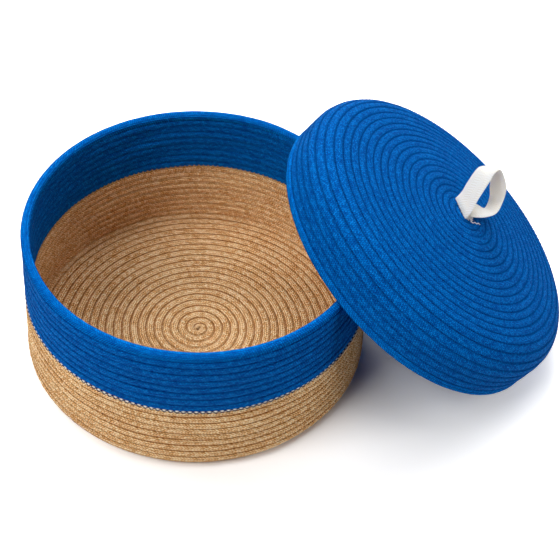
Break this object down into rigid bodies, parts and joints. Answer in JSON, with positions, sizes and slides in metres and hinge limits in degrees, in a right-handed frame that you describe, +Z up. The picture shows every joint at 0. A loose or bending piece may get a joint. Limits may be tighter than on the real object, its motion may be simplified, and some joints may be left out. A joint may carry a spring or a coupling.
{
  "type": "lidded knitting basket",
  "caption": "Round coiled-rope knitting basket, two-tone, with a deep lid leaning open on its rim and a webbing loop sewn to the middle of the lid.",
  "frame": {"origin": "middle of the basket's base, on the surface it stands on", "axes": "+Z up along the basket's axis; the lid leans on the rim on the +X side and slopes down towards +X"},
  "size_m": [0.5248, 0.3901, 0.2224],
  "materials": {
    "jute_rope": "matt, braided",
    "blue_cotton_rope": "matt, braided",
    "cotton_webbing": "matt, woven",
    "natural_thread": "matt",
    "white_thread": "matt"
  },
  "bodies": {
    "basket": {"base_coil": "jute_rope", "jute_wall_coil": "jute_rope", "blue_wall_coil": "blue_cotton_rope", "seam_thread": "natural_thread"},
    "lid": {"lid_top_coil": "blue_cotton_rope", "lid_skirt_coil": "blue_cotton_rope", "handle_foot": "cotton_webbing", "handle_thread": "white_thread"},
    "handle": {"handle_loop": "cotton_webbing"}
  },
  "joints": [
    {"name": "lid_lift", "type": "slide", "parent": "basket", "child": "lid", "axis": [0, 0, 1], "range_m": [0, 0.2]},
    {"name": "handle_flop", "type": "hinge", "parent": "lid", "child": "handle", "pos_m": [0.24377, 0.06868, 0.15785], "axis": [-0.4639, 0.8597, 0.2138], "range_deg": [-85, 6], "stiffness_Nm_per_rad": 0.005}
  ]
}
